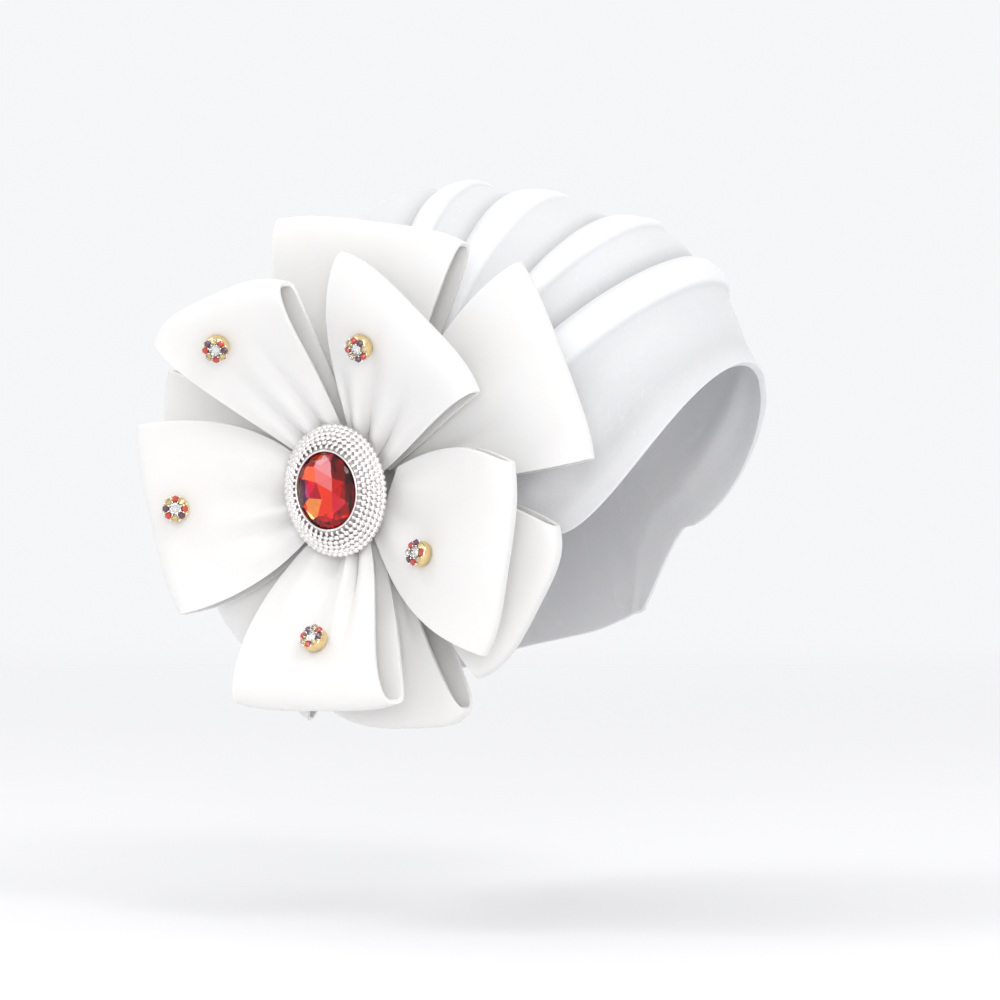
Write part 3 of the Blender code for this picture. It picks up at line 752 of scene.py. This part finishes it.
def turned(section, segments, place):
    """A closed body turned from a section that starts and ends on its axis; place(x, y, z) moves each point."""
    bm = bmesh.new()
    verts = [bm.verts.new((r, 0.0, z)) for r, z in section]
    edges = [bm.edges.new(pair) for pair in zip(verts, verts[1:])]
    bmesh.ops.spin(
        bm, geom=verts + edges, cent=(0.0, 0.0, 0.0), axis=(0.0, 0.0, 1.0), angle=math.tau, steps=segments,
        use_merge=True, use_duplicate=False,
    )
    bmesh.ops.remove_doubles(bm, verts=bm.verts, dist=1e-5)
    for vert in bm.verts:
        vert.co = place(*vert.co) * MM
    face_out(bm)
    return bm


def cut_stone(bm, rings, half, place, extra=()):
    """Adds a faceted stone to bm: the hull of its rings of corners and some extra ones. Returns its faces."""
    corners = [bm.verts.new(place(*corner) * MM) for corner in extra]
    for share, height, count, stagger in rings:
        for k in range(count):
            angle = math.tau * (k + stagger) / count
            x, y = share * half[0] * math.cos(angle), share * half[1] * math.sin(angle)
            corners.append(bm.verts.new(place(x, y, height) * MM))
    before = set(bm.faces)
    bmesh.ops.convex_hull(bm, input=corners)
    faces = [face for face in bm.faces if face not in before]
    bmesh.ops.recalc_face_normals(bm, faces=faces)
    return faces


def brooch_place(x, y, z):
    lean = math.radians(BROOCH_LEAN)
    ahead = BROOCH_CENTRE[0] + x * math.cos(lean) - y * math.sin(lean)
    up = BROOCH_CENTRE[1] + x * math.sin(lean) + y * math.cos(lean)
    return Vector(from_flower(ahead, up, BROOCH_BASE + z))


def add_ring(bm, radius, height, thickness, segments, place):
    """Adds a round wire bent into a ring."""
    made = bmesh.ops.create_circle(bm, segments=8, radius=1.0, matrix=Matrix.Rotation(math.pi / 2.0, 4, "X"))
    wire = made["verts"]
    edges = [edge for edge in bm.edges if edge.verts[0] in wire and edge.verts[1] in wire]
    for vert in wire:
        vert.co = (radius + vert.co.x * thickness / BROOCH_HALF[0], 0.0, height + vert.co.z * thickness)
    before = set(bm.verts) - set(wire)
    bmesh.ops.spin(
        bm, geom=list(wire) + edges, cent=(0.0, 0.0, 0.0), axis=(0.0, 0.0, 1.0), angle=math.tau, steps=segments,
        use_merge=True, use_duplicate=False,
    )
    ring = [vert for vert in bm.verts if vert not in before]
    for vert in ring:
        vert.co = place(*vert.co) * MM
    bmesh.ops.recalc_face_normals(bm, faces=[face for face in bm.faces if face.verts[0] not in before])


def build_brooch():
    silver = metal_material("silver", tuple(settings().brooch.silver), 0.14, 300.0)
    recess_shade = metal_material("silver darkened as recess shade", RECESS_SHADE_COLOUR, 0.42, 300.0)

    def place(x, y, z):
        return brooch_place(x * BROOCH_HALF[0], y * BROOCH_HALF[1], z)

    bm = turned(SETTING_SECTION, SETTING_SEGMENTS, place)
    # The body takes the dark silver, painted shade between the beads.
    for face in bm.faces:
        face.material_index = 1
    add_ring(bm, RING_SHARE, RING_TOP, RING_THICKNESS, SETTING_SEGMENTS, place)
    for share, height, across, along, thick, stagger in BEAD_ROWS:
        half = (share * BROOCH_HALF[0], share * BROOCH_HALF[1])
        count = round(math.tau * math.hypot(*half) / math.sqrt(2.0) / (settings().brooch.pitch / MM))
        for angle in ellipse_steps(half, count, stagger):
            x, y = half[0] * math.cos(angle), half[1] * math.sin(angle)
            origin = brooch_place(x, y, height)
            ahead = brooch_place(x - half[0] * math.sin(angle), y + half[1] * math.cos(angle), height)
            tangent = (ahead - origin).normalized()
            inward = (brooch_place(x * 0.9, y * 0.9, height + 2.2) - origin).normalized()
            outward = tangent.cross(inward).normalized()
            if outward.x > 0.0:
                outward = -outward
            inward = outward.cross(tangent)
            turn = Matrix((tangent, inward, outward)).transposed().to_4x4()
            size = Matrix.Diagonal((along * MM, across * MM, thick * MM, 1.0))
            bmesh.ops.create_icosphere(
                bm, subdivisions=2, radius=1.0, matrix=Matrix.Translation(origin * MM) @ turn @ size,
            )
    new_piece("brooch_beaded_setting", bm, [silver, recess_shade], ["brooch_setting"])
    build_brooch_stone()


def build_brooch_stone():
    bm = bmesh.new()
    back = []
    for x, y in STONE_BACK:
        depth = STONE_DEPTH * (1.0 - (x / STONE_HALF[0]) ** 2 - (y / STONE_HALF[1]) ** 2)
        back.append((x, y, -0.4 - depth))
    cut_stone(bm, STONE_RINGS, STONE_HALF, lambda x, y, z: brooch_place(x, y, z + STONE_GIRDLE), back)
    bmesh.ops.dissolve_limit(bm, angle_limit=math.radians(1.0), verts=bm.verts, edges=bm.edges)
    # Painted reflections: each facet takes the tint of the nearest spot, for the light it throws back.
    reflection_tint = bm.loops.layers.float_color.new("facet_painted_reflection")
    middle = brooch_place(0.0, 0.0, STONE_GIRDLE) * MM
    for face in bm.faces:
        face.material_index = 1 if face.normal.x > 0.1 else 0
        spot = (face.calc_center_median() - middle) / MM
        nearest = min(STONE_PAINTED_REFLECTIONS, key=lambda row: (row[0] + spot.y) ** 2 + (row[1] - spot.z) ** 2)
        for loop in face.loops:
            loop[reflection_tint] = (*nearest[2], 1.0)
    glass = stone_material("red cut glass", tuple(settings().brooch.red), 1.0, 1.45)
    new_piece(
        "brooch_cut_stone", bm, [glass, foil_material("stone foil")], ["brooch_stone"], is_smooth=False,
    )


def stud_frame(p, along, across):
    """Seat and turn of a stud on the front layer of a loop."""
    direction = math.radians(p["direction"])
    away = np.array((0.0, -math.cos(direction), math.sin(direction)))
    centre = from_flower(0.0, 0.0, 0.0)
    low, high = 0.0, 89.0
    for _round in range(40):
        turn = (low + high) / 2.0
        share = float(across / loop_half(p, math.sin(math.radians(turn)), np.array(across)))
        if (loop_points(p, [turn], [share])[0, 0] - centre).dot(away) < along:
            low = turn
        else:
            high = turn
    corner = loop_points(p, [turn, turn + 0.5], [share, share + 0.02])
    seat = Vector(corner[0, 0])
    normal = Vector(np.cross(corner[1, 0] - corner[0, 0], corner[0, 1] - corner[0, 0])).normalized()
    if normal.x > 0.0:
        normal = -normal
    seat += normal * (CLOTH / 2.0 + STUD_LIFT)
    return Matrix.Translation(seat) @ normal.to_track_quat("Z", "Y").to_matrix().to_4x4()


def build_stud(number, metals, stones):
    name, along, across = STUD_SEATS[number]
    turn = stud_frame(loop_row(name), along, across)
    bm = turned(STUD_SECTION, STUD_SEGMENTS, lambda x, y, z: turn @ Vector((x, y, z)))
    count = settings().studs.stones
    for k in range(count):
        angle = math.tau * (k + 0.5) / count
        for further, above, size in CLAWS:
            radius = RING_RADIUS + further
            spot = turn @ Vector((radius * math.cos(angle), radius * math.sin(angle), RING_HEIGHT + above)) * MM
            claw = bmesh.ops.create_icosphere(bm, subdivisions=2, radius=size * MM, matrix=Matrix.Translation(spot))
            for vert in claw["verts"]:
                for face in vert.link_faces:
                    face.material_index = 1
    new_piece(f"stud_{number}_cup", bm, metals, [f"stud_cup_{number}"])
    bm = bmesh.new()
    up = turn.to_3x3() @ Vector((0.0, 0.0, 1.0))

    def colour_stone(faces, colour):
        for face in faces:
            face.normal_update()
            face.material_index = MIRROR_BACK if colour == 0 and face.normal.dot(up) < -0.2 else colour

    colour_stone(cut_stone(bm, STUD_CENTRE_RINGS, (1.0, 1.0), lambda x, y, z: turn @ Vector((x, y, z))), 0)
    for k in range(count):
        angle = math.tau * k / count
        spot = Vector((RING_RADIUS * math.cos(angle), RING_RADIUS * math.sin(angle), RING_HEIGHT))
        faces = cut_stone(bm, STUD_RING_RINGS, (1.0, 1.0), lambda x, y, z: turn @ (spot + Vector((x, y, z))))
        colour_stone(faces, RING_ORDER[(k + 2 * number) % len(RING_ORDER)])
    new_piece(f"stud_{number}_stones", bm, stones, [f"stud_stone_{number}"], is_smooth=False)


def area_light(name, place, size, power):
    data = bpy.data.lights.new(name, "AREA")
    data.shape = "RECTANGLE"
    data.size = data.size_y = size
    data.energy = power
    data.color = LIGHT_COLOUR
    lamp = bpy.data.objects.new(name, data)
    lamp.location = place
    lamp.rotation_euler = (Vector(LIGHT_AIM) - Vector(place)).to_track_quat("-Z", "Y").to_euler()
    bpy.context.scene.collection.objects.link(lamp)


def build_camera():
    studio = settings().studio
    back = Vector((
        math.sin(studio.azimuth) * math.cos(studio.elevation), -math.cos(studio.azimuth) * math.cos(studio.elevation),
        math.sin(studio.elevation),
    ))
    data = bpy.data.cameras.new("camera")
    data.sensor_width = SENSOR
    data.lens = LENS
    data.shift_x, data.shift_y = SHIFT
    camera = bpy.data.objects.new("camera", data)
    camera.location = Vector(-SEAT) * MM + back * studio.distance
    camera.rotation_euler = (-back).to_track_quat("-Z", "Y").to_euler()
    bpy.context.scene.collection.objects.link(camera)
    bpy.context.scene.camera = camera


def build_floor():
    bm = bmesh.new()
    level = Matrix.Translation((0.0, 0.0, FLOOR_Z))
    bmesh.ops.create_circle(bm, cap_ends=True, segments=96, radius=FLOOR_RADIUS, matrix=level)
    mesh = bpy.data.meshes.new("floor")
    bm.to_mesh(mesh)
    bm.free()
    made, tree, shader, place = shader_nodes("floor", 0.7)
    shader.inputs["Base Color"].default_value = FLOOR_COLOUR
    distance = tree.nodes.new("ShaderNodeVectorMath")
    distance.operation = "LENGTH"
    tree.links.new(place, distance.inputs[0])
    tree.links.new(remap(tree, distance.outputs["Value"], *FLOOR_FADE, 1.0, 0.0), shader.inputs["Alpha"])
    mesh.materials.append(made)
    floor = bpy.data.objects.new("floor", mesh)
    bpy.context.scene.collection.objects.link(floor)


class TURBAN_OT_cap(bpy.types.Operator):
    """Build the pleated cap cloth"""

    bl_idname = "turban.cap"
    bl_label = "Pleated Cap"

    def execute(self, context):
        build_cap()
        return {"FINISHED"}


class TURBAN_OT_flower(bpy.types.Operator):
    """Build the flower's gathered cloth loops"""

    bl_idname = "turban.flower"
    bl_label = "Flower Loops"

    def execute(self, context):
        cloth = bonded_material()
        for name in LOOPS:
            build_loop(name, cloth)
        return {"FINISHED"}


class TURBAN_OT_brooch(bpy.types.Operator):
    """Build the beaded brooch and its cut stone"""

    bl_idname = "turban.brooch"
    bl_label = "Brooch"

    def execute(self, context):
        build_brooch()
        return {"FINISHED"}


class TURBAN_OT_studs(bpy.types.Operator):
    """Build the studs with their stones"""

    bl_idname = "turban.studs"
    bl_label = "Studs"

    def execute(self, context):
        metals = [
            metal_material("gold", tuple(settings().studs.gold), 0.22, 260.0),
            metal_material("bright claws", tuple(settings().brooch.silver), 0.12, 260.0),
        ]
        stones = [
            stone_material("clear cut glass", (0.93, 0.95, 0.96)),
            stone_material("small red glass", (0.75, 0.10, 0.09), 0.5),
            stone_material("small dark glass", (0.16, 0.08, 0.14), 0.3),
            metal_material("mirror backs", (0.86, 0.85, 0.84), 0.10, 260.0),
        ]
        for number in STUD_SEATS:
            build_stud(number, metals, stones)
        return {"FINISHED"}


class TURBAN_OT_studio(bpy.types.Operator):
    """Build the floor, lights, background and camera"""

    bl_idname = "turban.studio"
    bl_label = "Studio"

    def execute(self, context):
        build_floor()
        build_camera()
        world = bpy.data.worlds.new("studio")
        context.scene.world = world
        world.use_nodes = True
        background = world.node_tree.nodes["Background"]
        background.inputs["Color"].default_value = BACKGROUND_COLOUR
        background.inputs["Strength"].default_value = BACKGROUND_STRENGTH
        for light in LIGHTS:
            area_light(*light)
        context.scene.view_settings.view_transform = "Standard"
        return {"FINISHED"}


class TurbanCapSettings(bpy.types.PropertyGroup):
    cap: PointerProperty(type=CapSettings)
    flower: PointerProperty(type=FlowerSettings)
    brooch: PointerProperty(type=BroochSettings)
    studs: PointerProperty(type=StudSettings)
    studio: PointerProperty(type=StudioSettings)


class TURBAN_PT_panel(bpy.types.Panel):
    """The turban cap's buttons in the 3D view's sidebar"""

    bl_idname = "TURBAN_PT_panel"
    bl_label = "Turban Cap"
    bl_space_type = "VIEW_3D"
    bl_region_type = "UI"
    bl_category = "Turban Cap"

    def draw(self, context):
        groups = context.scene.turban_cap
        for operator, group in BUTTONS:
            box = self.layout.box()
            box.operator(operator)
            owner = getattr(groups, group)
            for name in owner.bl_rna.properties.keys():
                if name not in {"rna_type", "name"}:
                    box.prop(owner, name)


BUTTONS = (
    ("turban.cap", "cap"), ("turban.flower", "flower"), ("turban.brooch", "brooch"), ("turban.studs", "studs"),
    ("turban.studio", "studio"),
)
CLASSES = (
    CapSettings, FlowerSettings, BroochSettings, StudSettings, StudioSettings, TurbanCapSettings,
    TURBAN_OT_cap, TURBAN_OT_flower, TURBAN_OT_brooch, TURBAN_OT_studs, TURBAN_OT_studio, TURBAN_PT_panel,
)


def register():
    for made in CLASSES:
        bpy.utils.register_class(made)
    bpy.types.Scene.turban_cap = PointerProperty(type=TurbanCapSettings)


def unregister():
    del bpy.types.Scene.turban_cap
    for made in reversed(CLASSES):
        bpy.utils.unregister_class(made)


def main():
    register()
    bpy.ops.turban.cap()
    bpy.ops.turban.flower()
    bpy.ops.turban.brooch()
    bpy.ops.turban.studs()
    bpy.ops.turban.studio()


if __name__ == "__main__":
    main()
